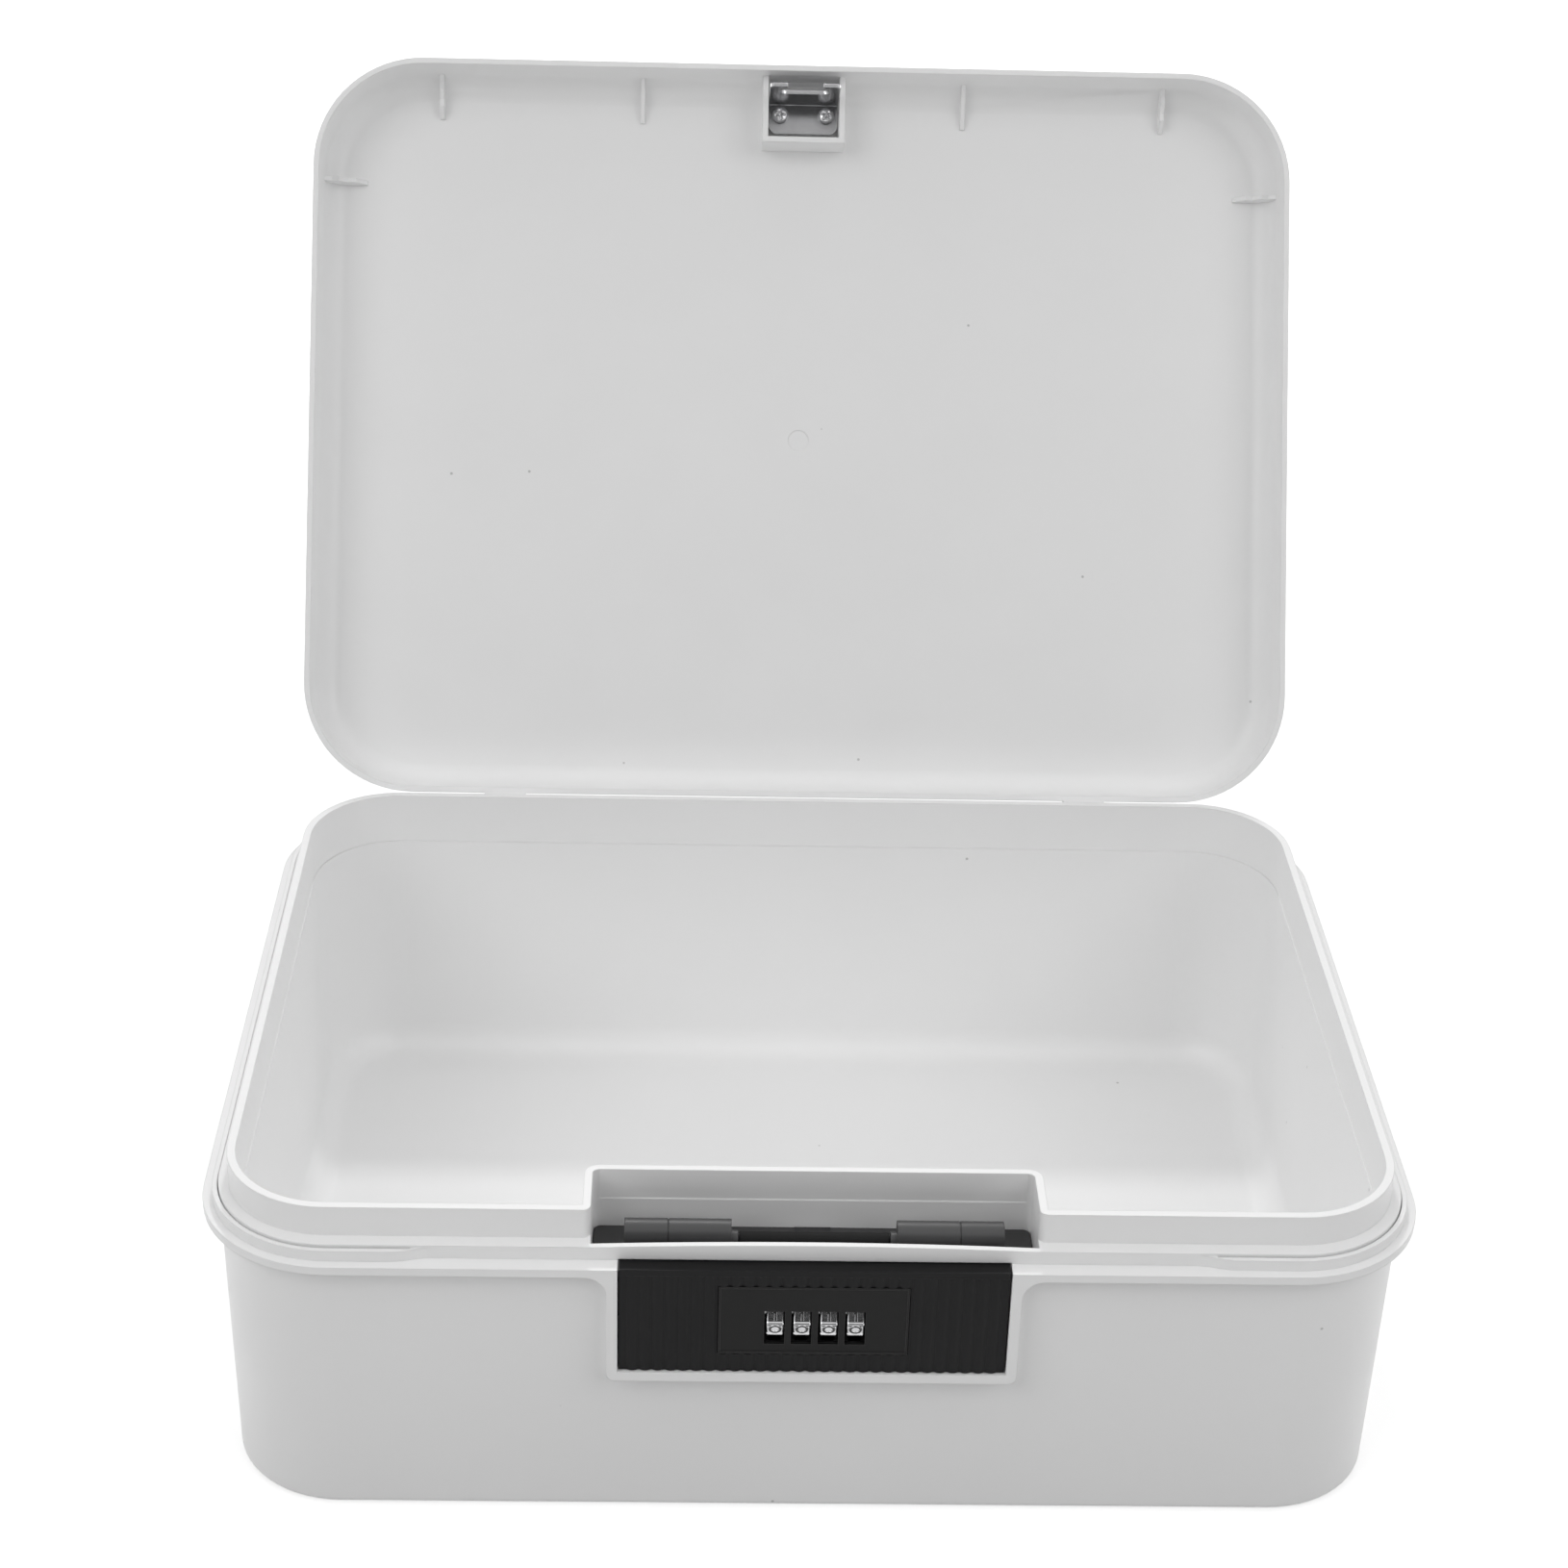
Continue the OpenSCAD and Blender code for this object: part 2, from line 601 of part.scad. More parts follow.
module release_panel() color(black_tone) {
    z0 = flange_z - panel_h;
    hw = panel_w / 2;
    wall = 1.8;
    difference() {
        union() {
            translate([0, 0, z0]) linear_extrude(panel_h - 1.2) rib_plan();
            box([-hw, face_y, flange_z - 2], [hw, strip_y - 0.9, flange_z]);
            box([-hw, face_y + 0.5, z0], [hw, fy + 4.4, z0 + wall]);
            for (s = [-1, 1]) {
                box([s * (hw - wall / 2) - wall / 2, face_y + 0.5, z0],
                    [s * (hw - wall / 2) + wall / 2, fy + 4.4, flange_z]);
                box([s * (hw - wall / 2) - wall / 2, fy + 4, dial_z - 2],
                    [s * (hw - wall / 2) + wall / 2, fy + 9.2, dial_z + 8]);
                box([s * (hw + 1.7) - 2.7, fy + 7.6, dial_z - 2],
                    [s * (hw + 1.7) + 2.7, fy + 9.2, dial_z + 8]);
                translate([s * spring_x, face_y + 1, boss_z]) rotate([-90, 0, 0])
                    cylinder(r = 4.4, h = 5);
            }
            box([-5, face_y + 1, shelf_z - 1.1], [5, fy + 8.15, shelf_z + 2.5]);
        }
        box([-face_half - fit_in, face_y - over, dial_z - face_down - fit_in],
            [face_half + fit_in, face_y + 1.2, dial_z + face_up + fit_in]);
        dial_windows(face_y - over, face_y + 3);
        for (s = [-1, 1]) translate([s * spring_x, face_y + 2, boss_z]) rotate([-90, 0, 0])
            cylinder(r = 3.04, h = 6);
    }
}

module lock_face() color(black_tone) difference() {
    z0 = dial_z - face_down;
    z1 = dial_z + face_up;
    box([-face_half, face_y + 0.1, z0], [face_half, face_y + 1.2, z1]);
    box([0.6 - face_half, face_y, z0 + 0.6], [face_half - 0.6, face_y + 0.35, z1 - 0.6]);
    dial_windows(face_y - over, face_y + 3);
}

module dial_carrier() color(black_tone) {
    x0 = mid_x - 19;
    x1 = mid_x + 19;
    z0 = dial_z - face_down;
    z1 = dial_z + 8.8;
    y0 = face_y + 2;
    y1 = dial_y + 10.4;
    difference() {
        union() {
            box([x0, y0, z0], [x0 + 2.8, y1, z1]);
            box([x1 - 2.8, y0, z0], [x1, y1, z1]);
            box([x0, y0, z0], [x1, y1, z0 + 1.2]);
            box([x0, y1 - 1.6, z0], [x1, y1, z1]);
        }
        box([x0 + 4, y1 - 4, dial_z - 5], [x1 - 3.2, y1 + over, dial_z + 5]);
        bar(x0 - over, x1 + over, axle_r + clip, dial_y, dial_z);
    }
}

module dial_axle() color(metal_tone) bar(mid_x - 19, mid_x + 19, axle_r, dial_y, dial_z);

module dial(i) {
    x = mid_x + (i - 2.5) * dial_pitch;
    difference() {
        translate([x - dial_w / 2, dial_y, dial_z]) rotate([0, 90, 0]) rotate([0, 0, 6])
            cylinder(r = dial_r, h = dial_w, $fn = 10);
        bar(x - 4, x + 4, sleeve_r + clip, dial_y, dial_z);
    }
}

module dial_1() color(metal_tone) dial(1);

module dial_2() color(metal_tone) dial(2);

module dial_3() color(metal_tone) dial(3);

module dial_4() color(metal_tone) dial(4);

// Sleeve keyed into a dial, with a slotted disc in the gap beside it
module code_sleeve(i) {
    x = mid_x + (i - 2.5) * dial_pitch;
    side = (dial_pitch + dial_w) / 4 + dial_pitch / 4 - 0.9 + 0.36;
    difference() {
        union() {
            bar(x - dial_w / 2, x + side, sleeve_r, dial_y, dial_z);
            bar(x + dial_pitch / 2 - 0.9, x + dial_pitch / 2 + 0.9, disc_r, dial_y, dial_z);
        }
        bar(x - 4, x + 6, axle_r + 0.05, dial_y, dial_z);
        box([x + dial_pitch / 2 - 2, dial_y + 1.9, dial_z - 1.2],
            [x + dial_pitch / 2 + 2, dial_y + 6, dial_z + 1.2]);
    }
}

module code_sleeve_1() color(black_tone) code_sleeve(1);

module code_sleeve_2() color(black_tone) code_sleeve(2);

module code_sleeve_3() color(black_tone) code_sleeve(3);

module code_sleeve_4() color(black_tone) code_sleeve(4);

module dial_detent_spring() color(metal_tone) {
    z0 = dial_z - 8;
    box([mid_x - 16, dial_y + 2, z0], [mid_x + 16, dial_y + 7, z0 + 0.4]);
    for (i = [1 : 4]) {
        x = mid_x + (i - 2.5) * dial_pitch;
        box([x - 1.6, dial_y - 3, z0], [x + 1.6, dial_y + 3, z0 + 0.4]);
    }
}

module code_gate() color(black_tone) {
    y1 = pocket_y - plate_t;
    box([mid_x - gate_left, y1 - 2, dial_z - 4], [mid_x + gate_right, y1, dial_z + 4]);
    for (i = [1 : 4]) {
        x = mid_x + (i - 2) * dial_pitch;
        box([x - 0.7, dial_y + disc_r + press + 0.35, dial_z - 0.8], [x + 0.7, y1 - 1, dial_z + 0.8]);
    }
}

module return_springs() color(metal_tone)
    for (s = [-1, 1]) translate([s * spring_x, face_y + 2, boss_z]) rotate([-90, 0, 0])
        difference() {
            cylinder(r = 3, h = pocket_y - plate_t - press - 0.5 - face_y - 2);
            translate([0, 0, -over]) cylinder(r = 2.3, h = notch_d + over);
        }

base_tub();
lid_shell();
hinge_pin_left();
hinge_pin_right();
striker_bracket();
striker_screws();
lock_frame();
lock_frame_screws();
bearing_block_left();
bearing_block_right();
shaft_bush_left();
shaft_bush_right();
latch_shaft();
latch_hook();
hook_leaf_spring();
release_panel();
lock_face();
dial_carrier();
dial_axle();
dial_1();
dial_2();
dial_3();
dial_4();
code_sleeve_1();
code_sleeve_2();
code_sleeve_3();
code_sleeve_4();
dial_detent_spring();
code_gate();
return_springs();
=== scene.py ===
import math

import bmesh
import bpy
from mathutils import Matrix, Vector


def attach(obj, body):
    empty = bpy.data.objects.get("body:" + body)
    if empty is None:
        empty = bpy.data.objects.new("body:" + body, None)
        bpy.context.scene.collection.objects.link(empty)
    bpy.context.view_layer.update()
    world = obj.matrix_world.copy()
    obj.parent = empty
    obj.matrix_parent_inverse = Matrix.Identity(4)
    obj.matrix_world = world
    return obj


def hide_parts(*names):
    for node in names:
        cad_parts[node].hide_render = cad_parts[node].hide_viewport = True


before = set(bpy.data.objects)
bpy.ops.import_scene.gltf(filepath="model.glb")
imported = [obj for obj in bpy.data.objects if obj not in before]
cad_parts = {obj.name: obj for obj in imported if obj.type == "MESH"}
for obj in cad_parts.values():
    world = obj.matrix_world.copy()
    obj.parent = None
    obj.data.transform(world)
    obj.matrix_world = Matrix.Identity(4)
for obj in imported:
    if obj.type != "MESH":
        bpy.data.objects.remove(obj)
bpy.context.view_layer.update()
MM = 0.001


# Base tub: one injection moulding in off-white plastic, with satin walls and a fine eroded
# grain. Its stepped rim and short lip seal inside the lid's skirt.
def node(tree, kind, place=(0, 0), **inputs):
    made = tree.nodes.new(kind)
    made.location = place
    for name, value in inputs.items():
        made.inputs[name.replace("_", " ")].default_value = value
    return made


def new_material(name):
    mat = bpy.data.materials.new(name)
    mat.use_nodes = True
    tree = mat.node_tree
    tree.nodes.clear()
    out = node(tree, "ShaderNodeOutputMaterial", (900, 0))
    shader = node(tree, "ShaderNodeBsdfPrincipled", (600, 0))
    tree.links.new(shader.outputs["BSDF"], out.inputs["Surface"])
    coords = node(tree, "ShaderNodeTexCoord", (-1100, 0))
    return mat, tree, shader, coords.outputs["Object"]


def noise(tree, coords, scale, detail, rough, place):
    made = node(tree, "ShaderNodeTexNoise", place, Scale=scale, Detail=detail, Roughness=rough)
    tree.links.new(coords, made.inputs["Vector"])
    return made.outputs["Fac"]


def ramp(tree, fac, stops, place):
    made = tree.nodes.new("ShaderNodeValToRGB")
    made.location = place
    bar = made.color_ramp
    bar.elements[0].position, bar.elements[0].color = stops[0][0], (*stops[0][1], 1)
    bar.elements[1].position, bar.elements[1].color = stops[-1][0], (*stops[-1][1], 1)
    for where, tone in stops[1:-1]:
        bar.elements.new(where).color = (*tone, 1)
    tree.links.new(fac, made.inputs["Fac"])
    return made.outputs["Color"]


def remap(tree, fac, low, high, to_low, to_high, place):
    made = tree.nodes.new("ShaderNodeMapRange")
    made.location = place
    made.inputs["From Min"].default_value = low
    made.inputs["From Max"].default_value = high
    made.inputs["To Min"].default_value = to_low
    made.inputs["To Max"].default_value = to_high
    tree.links.new(fac, made.inputs["Value"])
    return made.outputs["Result"]


def bump(tree, height, strength, distance, under, place):
    made = node(tree, "ShaderNodeBump", place, Strength=strength, Distance=distance)
    tree.links.new(height, made.inputs["Height"])
    if under is not None:
        tree.links.new(under, made.inputs["Normal"])
    return made.outputs["Normal"]


def rounded(tree, radius, place):
    made = node(tree, "ShaderNodeBevel", place, Radius=radius)
    made.samples = 6
    return made.outputs["Normal"]


def plastic(name, tone, second_tone, rough, grain, edge, specks=False):
    """Moulded plastic: two close tones in soft clouds, fine eroded grain, a worn sheen."""
    mat, tree, shader, where = new_material(name)
    clouds = noise(tree, where, 14, 4, 0.55, (-800, 300))
    colour = ramp(tree, clouds, [(0.3, tone), (0.72, second_tone)], (-500, 300))
    if specks:
        cells = node(tree, "ShaderNodeTexVoronoi", (-800, 600), Scale=42)
        tree.links.new(where, cells.inputs["Vector"])
        spot = remap(tree, cells.outputs["Distance"], 0.012, 0.026, 0.45, 0.0, (-500, 600))
        mix = tree.nodes.new("ShaderNodeMix")
        mix.data_type = "RGBA"
        mix.location = (-150, 400)
        mix.inputs["B"].default_value = (0.12, 0.12, 0.115, 1)
        tree.links.new(spot, mix.inputs["Factor"])
        tree.links.new(colour, mix.inputs["A"])
        colour = mix.outputs["Result"]
    tree.links.new(colour, shader.inputs["Base Color"])
    rub = noise(tree, where, 55, 6, 0.65, (-800, 0))
    sheen = remap(tree, rub, 0.3, 0.7, rough - 0.06, rough + 0.07, (-500, 0))
    tree.links.new(sheen, shader.inputs["Roughness"])
    fine = noise(tree, where, 2600, 2, 0.5, (-800, -300))
    swell = noise(tree, where, 9, 2, 0.4, (-800, -550))
    soft = rounded(tree, edge, (-500, -700))
    broad = bump(tree, swell, 0.12, 0.6 * MM, soft, (-200, -500))
    tree.links.new(bump(tree, fine, grain, 0.03 * MM, broad, (100, -350)), shader.inputs["Normal"])
    return mat


def dress(node_name, mat):
    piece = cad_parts[node_name]
    piece.data.materials.clear()
    piece.data.materials.append(mat)
    return piece


shell = plastic("shell_plastic", (0.875, 0.875, 0.875), (0.89, 0.89, 0.89), 0.4, 0.1, 0.5 * MM, True)
dress("base_tub", shell)

# Lid: the same off-white moulding, dished with a wide radius. Clip ribs, the striker's boss
# and the gate mark are moulded inside it.
dress("lid_shell", shell)

# Lock frame: a moulded shelf and back plate in a dusty black plastic, screwed inside the
# pocket of the front wall.
frame_plastic = plastic("frame_plastic", (0.036, 0.036, 0.037), (0.052, 0.052, 0.053), 0.45, 0.15,
                        0.3 * MM)
dress("lock_frame", frame_plastic)

# Bearing blocks and bushes that hold the latch shaft, and the parts behind the dials: black
# plastic mouldings, pressed or clipped in place.
black = plastic("black_plastic", (0.034, 0.034, 0.035), (0.05, 0.05, 0.051), 0.42, 0.12, 0.3 * MM)
for name in ("bearing_block_left", "bearing_block_right", "shaft_bush_left", "shaft_bush_right",
             "dial_carrier", "code_gate", "code_sleeve_1", "code_sleeve_2", "code_sleeve_3",
             "code_sleeve_4"):
    dress(name, black)

# Latch hook: hub and nose moulded in one, in a duller black nylon that slides on the steel.
nylon = plastic("hook_nylon", (0.006, 0.006, 0.006), (0.011, 0.011, 0.011), 0.6, 0.2, 0.3 * MM)
nylon.node_tree.nodes["Principled BSDF"].inputs["Specular IOR Level"].default_value = 0.15
dress("latch_hook", nylon)

# Release panel: deep black plastic with upright half-round grip ribs moulded in its face.
ribbed = plastic("panel_plastic", (0.0045, 0.0045, 0.0048), (0.0075, 0.0075, 0.008), 0.46, 0.15, 0.2 * MM)
ribbed.node_tree.nodes["Principled BSDF"].inputs["Specular IOR Level"].default_value = 0.17
dress("release_panel", ribbed)

# Lock face: a smooth black plate let into the panel. The moulded edges of both carry a painted highlight: a
# paler line where the rounded edges would catch the light.
def paint_edge_highlight(mat, tone, width):
    """Painted highlight: paler plastic in a thin line along each edge, where the rounded normal leaves the
    flat one.
    """
    tree = mat.node_tree
    shader = tree.nodes["Principled BSDF"]
    soft = rounded(tree, width, (-800, -900))
    flat = tree.nodes.new("ShaderNodeNewGeometry")
    flat.location = (-800, -1100)
    along = tree.nodes.new("ShaderNodeVectorMath")
    along.operation = "DOT_PRODUCT"
    along.location = (-500, -1000)
    tree.links.new(soft, along.inputs[0])
    tree.links.new(flat.outputs["True Normal"], along.inputs[1])
    mix = tree.nodes.new("ShaderNodeMix")
    mix.data_type = "RGBA"
    mix.location = (350, 300)
    mix.inputs["B"].default_value = (*tone, 1)
    tree.links.new(remap(tree, along.outputs["Value"], 0.99, 0.9, 0.0, 1.0, (0, -900)), mix.inputs["Factor"])
    tree.links.new(shader.inputs["Base Color"].links[0].from_socket, mix.inputs["A"])
    tree.links.new(mix.outputs["Result"], shader.inputs["Base Color"])


face = plastic("face_plastic", (0.005, 0.005, 0.005), (0.007, 0.007, 0.007), 0.4, 0.05, 0.15 * MM)
face.node_tree.nodes["Principled BSDF"].inputs["Specular IOR Level"].default_value = 0.19
# Painted edge highlights on the lock face and the release panel.
paint_edge_highlight(face, (0.045, 0.045, 0.045), 0.3 * MM)
paint_edge_highlight(ribbed, (0.02, 0.02, 0.02), 0.2 * MM)
dress("lock_face", face)


# Shaft, hinge pins, axle and flat springs: plain bright steel, drawn or rolled.
def metal(name, tone, rough, stretch, edge=0.15 * MM, relief=0.15):
    """Plated or drawn steel: long fine streaks in the roughness and the height."""
    mat, tree, shader, where = new_material(name)
    shader.inputs["Metallic"].default_value = 1.0
    lines = tree.nodes.new("ShaderNodeMapping")
    lines.location = (-950, -200)
    lines.inputs["Scale"].default_value = stretch
    tree.links.new(where, lines.inputs["Vector"])
    streak = noise(tree, lines.outputs["Vector"], 900, 3, 0.6, (-700, -200))
    cloud = noise(tree, where, 160, 4, 0.6, (-700, 200))
    dark = tuple((1 - 1.9 * relief) * c for c in tone)
    colour = ramp(tree, cloud, [(0.25, dark), (0.65, tone)], (-400, 250))
    tree.links.new(colour, shader.inputs["Base Color"])
    sheen = remap(tree, streak, 0.3, 0.7, rough - 0.5 * relief, rough + 0.7 * relief, (-400, 0))
    tree.links.new(sheen, shader.inputs["Roughness"])
    soft = rounded(tree, edge, (-400, -500))
    tree.links.new(bump(tree, streak, relief, 0.02 * MM, soft, (0, -300)), shader.inputs["Normal"])
    return mat


steel = metal("bright_steel", (0.55, 0.55, 0.56), 0.3, (1, 14, 14))
for name in ("hinge_pin_left", "hinge_pin_right", "dial_axle"):
    dress(name, steel)

# Latch shaft and the dials' detent spring: steel blackened in oil, almost as dark as the
# plastic round them.
blued = metal("blackened_steel", (0.02, 0.02, 0.021), 0.5, (1, 14, 14))
dress("latch_shaft", blued)
dress("dial_detent_spring", blued)

# Leaf spring behind the hook: tempered grey spring strip, dull from its heat treatment.
tempered = metal("tempered_strip", (0.09, 0.09, 0.093), 0.5, (1, 14, 14))
dress("hook_leaf_spring", tempered)

# Striker bracket: zinc-plated sheet, blanked and folded, so its edges are rolled over. Its
# lower edge is straight between two wide corners and runs close to the boss's lip.
zinc = metal("plated_sheet", (0.52, 0.52, 0.53), 0.2, (1, 3, 3), 0.1 * MM, 0.05)
dress("striker_bracket", zinc)
hinge = Vector((0, 133.1, 85.92))
lid_turn = Matrix.Rotation(math.radians(-119.6), 3, "X")


def opened(x, y, z):
    """A place on the shut lid, in mm, carried to where the lid stands open."""
    return (hinge + lid_turn @ (Vector((x, y, z)) - hinge)) * MM


sheet_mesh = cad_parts["striker_bracket"].data.copy()
sheet_mesh.transform(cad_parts["striker_bracket"].matrix_world)
sheet = bpy.data.objects.new("striker_bracket_shown", sheet_mesh)
bpy.context.scene.collection.objects.link(sheet)
merged = bmesh.new()
merged.from_mesh(sheet_mesh)
bmesh.ops.remove_doubles(merged, verts=merged.verts, dist=0.001 * MM)
corner_start, lower_edge, stretch_more = -110.65, -107.05, 0.2
for corner in merged.verts:
    shut = hinge + lid_turn.inverted() @ (corner.co / MM - hinge)
    if shut.y > corner_start:
        shut.y = min(shut.y + stretch_more * (shut.y - corner_start), lower_edge)
        corner.co = opened(*shut)
bmesh.ops.remove_doubles(merged, verts=merged.verts, dist=0.001 * MM)
bmesh.ops.dissolve_limit(merged, angle_limit=math.radians(1), verts=merged.verts, edges=merged.edges)
merged.to_mesh(sheet_mesh)
merged.free()
rolled = sheet.modifiers.new("rolled_edges", "BEVEL")
rolled.width = 0.35 * MM
rolled.segments = 4
rolled.limit_method = "ANGLE"
rolled.angle_limit = math.radians(35)
rolled.harden_normals = True


def bake(holder):
    """The evaluated object as a plain mesh, with its modifier gone."""
    graph = bpy.context.evaluated_depsgraph_get()
    mesh = bpy.data.meshes.new_from_object(holder.evaluated_get(graph))
    holder.modifiers.clear()
    holder.data = mesh
    return holder


bake(sheet)
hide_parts("striker_bracket")
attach(sheet, "lid")


# Pan-head screws: plated, with a domed head and a cross recess. Two hold the striker
# bracket to the lid and four hold the lock frame, from inside the box.
def screw_mesh(name, head_r, head_h, shank_r, length):
    """A pan head with a cross recess over a plain shank, turned about Z with the head at -Z."""
    rings, spokes = 14, 48
    slot_half, slot_reach, slot_wall, slot_deep = 0.3 * MM, 1.6 * MM, 0.28 * MM, 0.9 * MM
    made = bmesh.new()

    def ring(r, z):
        return [made.verts.new((r * math.cos(2 * math.pi * j / spokes),
                                r * math.sin(2 * math.pi * j / spokes), z)) for j in range(spokes)]

    grid = []
    for i in range(rings + 1):
        r = head_r * i / rings
        row = []
        for j in range(spokes):
            a = 2 * math.pi * j / spokes
            x, y = r * math.cos(a), r * math.sin(a)
            dome = head_h * math.sqrt(max(0.0, 1 - 0.86 * (r / head_r) ** 2.4))
            arm = min(max(abs(x) - slot_half, 0) + max(abs(y) - slot_reach, 0),
                      max(abs(y) - slot_half, 0) + max(abs(x) - slot_reach, 0))
            cut = max(0.0, 1 - arm / slot_wall) * slot_deep * (1 - 0.45 * r / head_r)
            row.append(made.verts.new((x, y, -dome + cut)))
            if i == 0:
                break
        grid.append(row)
    for r, z in ((head_r, 0), (shank_r, 0), (shank_r, length)):
        grid.append(ring(r, z))
    for i in range(1, len(grid) - 1):
        for j in range(spokes):
            k = (j + 1) % spokes
            made.faces.new((grid[i][j], grid[i][k], grid[i + 1][k], grid[i + 1][j]))
    for j in range(spokes):
        made.faces.new((grid[0][0], grid[1][(j + 1) % spokes], grid[1][j]))
    made.faces.new(grid[-1])
    bmesh.ops.recalc_face_normals(made, faces=made.faces)
    for piece in made.faces:
        piece.smooth = True
    mesh = bpy.data.meshes.new(name)
    made.to_mesh(mesh)
    made.free()
    return mesh


def screw_group(name, source, places, mat):
    """Instances of one screw at given places, realised into one mesh."""
    points = bpy.data.meshes.new(name + "_points")
    points.from_pydata([p for p, _ in places], [], [])
    turn = points.attributes.new("turn", "FLOAT_VECTOR", "POINT")
    for i, (_, angles) in enumerate(places):
        turn.data[i].vector = angles
    holder = bpy.data.objects.new(name, points)
    bpy.context.scene.collection.objects.link(holder)
    tree = bpy.data.node_groups.new(name + "_tree", "GeometryNodeTree")
    tree.interface.new_socket("Geometry", in_out="INPUT", socket_type="NodeSocketGeometry")
    screw = tree.interface.new_socket("Screw", in_out="INPUT", socket_type="NodeSocketObject")
    tree.interface.new_socket("Geometry", in_out="OUTPUT", socket_type="NodeSocketGeometry")
    start, end = tree.nodes.new("NodeGroupInput"), tree.nodes.new("NodeGroupOutput")
    info = tree.nodes.new("GeometryNodeObjectInfo")
    read = tree.nodes.new("GeometryNodeInputNamedAttribute")
    read.data_type = "FLOAT_VECTOR"
    read.inputs["Name"].default_value = "turn"
    spread = tree.nodes.new("GeometryNodeInstanceOnPoints")
    real = tree.nodes.new("GeometryNodeRealizeInstances")
    paint = tree.nodes.new("GeometryNodeSetMaterial")
    paint.inputs["Material"].default_value = mat
    for a, b in ((start.outputs["Geometry"], spread.inputs["Points"]),
                 (start.outputs["Screw"], info.inputs["Object"]),
                 (info.outputs["Geometry"], spread.inputs["Instance"]),
                 (read.outputs["Attribute"], spread.inputs["Rotation"]),
                 (spread.outputs["Instances"], real.inputs["Geometry"]),
                 (real.outputs["Geometry"], paint.inputs["Geometry"]),
                 (paint.outputs["Geometry"], end.inputs["Geometry"])):
        tree.links.new(a, b)
    grown = holder.modifiers.new("screws", "NODES")
    grown.node_group = tree
    grown[screw.identifier] = source
    return bake(holder)


plated_screw = metal("screw_plating", (0.62, 0.62, 0.63), 0.2, (3, 3, 3), 0.1 * MM)
striker_places = [(opened(s * 8.1, -113.55, 103.7),
                   (lid_turn @ Matrix.Rotation(math.radians(20 * s + 12), 3, "Z")).to_euler())
                  for s in (-1, 1)]
frame_places = [((s * 50 * MM, -97.1 * MM, z * MM), (math.pi / 2, 0.3 * s + z, 0))
                for s in (-1, 1) for z in (58.5, 74.3)]
head_h, shank_r, shank_l = 2 * MM, 1.5 * MM, 5 * MM
for name, head_r, body, slot_name, places in (
        ("striker_screws", 2.85 * MM, "lid", "plated_steel", striker_places),
        ("lock_frame_screws", 3.0 * MM, "base", "steel", frame_places)):
    one_screw = screw_mesh(name + "_mesh", head_r, head_h, shank_r, shank_l)
    source = bpy.data.objects.new(name + "_source", one_screw)
    bpy.context.scene.collection.objects.link(source)
    screws = screw_group(name + "_shown", source, places, plated_screw)
    bpy.data.objects.remove(source)
    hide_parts(name)
    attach(screws, body)

# Number dials: ten-sided die-cast wheels, plated, with bevelled sides and a ridge between the sunk flats.
# Each flat has a raised digit, filled black, and a black band painted along its top under the ridge, which
# stands in for a dark reflection there. They turn on the axle.
plated = metal("dial_plating", (0.6, 0.6, 0.61), 0.16, (1, 6, 6), 0.08 * MM, 0.08)
black_fill_and_painted_band = plastic("digit_fill_and_painted_band", (0.01, 0.01, 0.01), (0.015, 0.015, 0.015), 0.3, 0.05, 0.02 * MM)


def arc(cx, cy, rx, ry, start, end, steps=16):
    return [(cx + rx * math.cos(math.radians(start + (end - start) * i / steps)),
             cy + ry * math.sin(math.radians(start + (end - start) * i / steps))) for i in range(steps + 1)]


digit_lines = [
    [arc(0, 0, 0.5, 0.5, 90, 450, 28)],
    [[(-0.2, 0.3), (0.02, 0.5), (0.02, -0.5)]],
    [arc(0, 0.22, 0.42, 0.28, 165, -35) + [(-0.42, -0.5), (0.44, -0.5)]],
    [arc(0, 0.26, 0.36, 0.24, 150, -90) + arc(0, -0.24, 0.42, 0.26, 90, -150)],
    [[(0.2, -0.5), (0.2, 0.5), (-0.46, -0.2), (0.48, -0.2)]],
    [[(0.38, 0.5), (-0.34, 0.5), (-0.38, 0.06)] + arc(-0.02, -0.18, 0.44, 0.32, 135, -145)],
    [arc(0, -0.2, 0.42, 0.3, 90, 450, 24), [(-0.4, -0.12), (-0.28, 0.26), (0.24, 0.5)]],
    [[(-0.44, 0.5), (0.44, 0.5), (-0.1, -0.5)]],
    [arc(0, 0.26, 0.34, 0.24, 90, 450, 24), arc(0, -0.24, 0.42, 0.26, 90, 450, 24)],
    [arc(0, 0.2, 0.42, 0.3, 90, 450, 24), [(0.4, 0.12), (0.28, -0.26), (-0.24, -0.5)]],
]


def ribbon(made, line, place, low_half, top_half, low, top, slot_index):
    """A stroke of a digit as a low bar with sloping sides along a line of points."""
    closed = line[0] == line[-1] or (Vector(line[0]) - Vector(line[-1])).length < 1e-6
    points = [Vector(p) for p in (line[:-1] if closed else line)]
    count = len(points)
    rows = []
    for i, p in enumerate(points):
        before = points[i - 1] if (closed or i > 0) else p
        after = points[(i + 1) % count] if (closed or i < count - 1) else p
        a, b = (p - before), (after - p)
        a = a.normalized() if a.length else b.normalized()
        b = b.normalized() if b.length else a
        mid = (a + b).normalized()
        side = Vector((-mid.y, mid.x)) / max(0.5, mid.dot(a))
        rows.append([made.verts.new(place(p + side * w, h)) for w, h in
                     ((low_half, low), (top_half, top), (-top_half, top), (-low_half, low))])
    for i in range(count if closed else count - 1):
        here, there = rows[i], rows[(i + 1) % count]
        for k in range(3):
            made.faces.new((here[k], there[k], there[k + 1], here[k + 1])).material_index = slot_index
        made.faces.new((here[3], there[3], there[0], here[0])).material_index = slot_index
    if not closed:
        made.faces.new(rows[0]).material_index = slot_index
        made.faces.new(rows[-1][::-1]).material_index = slot_index


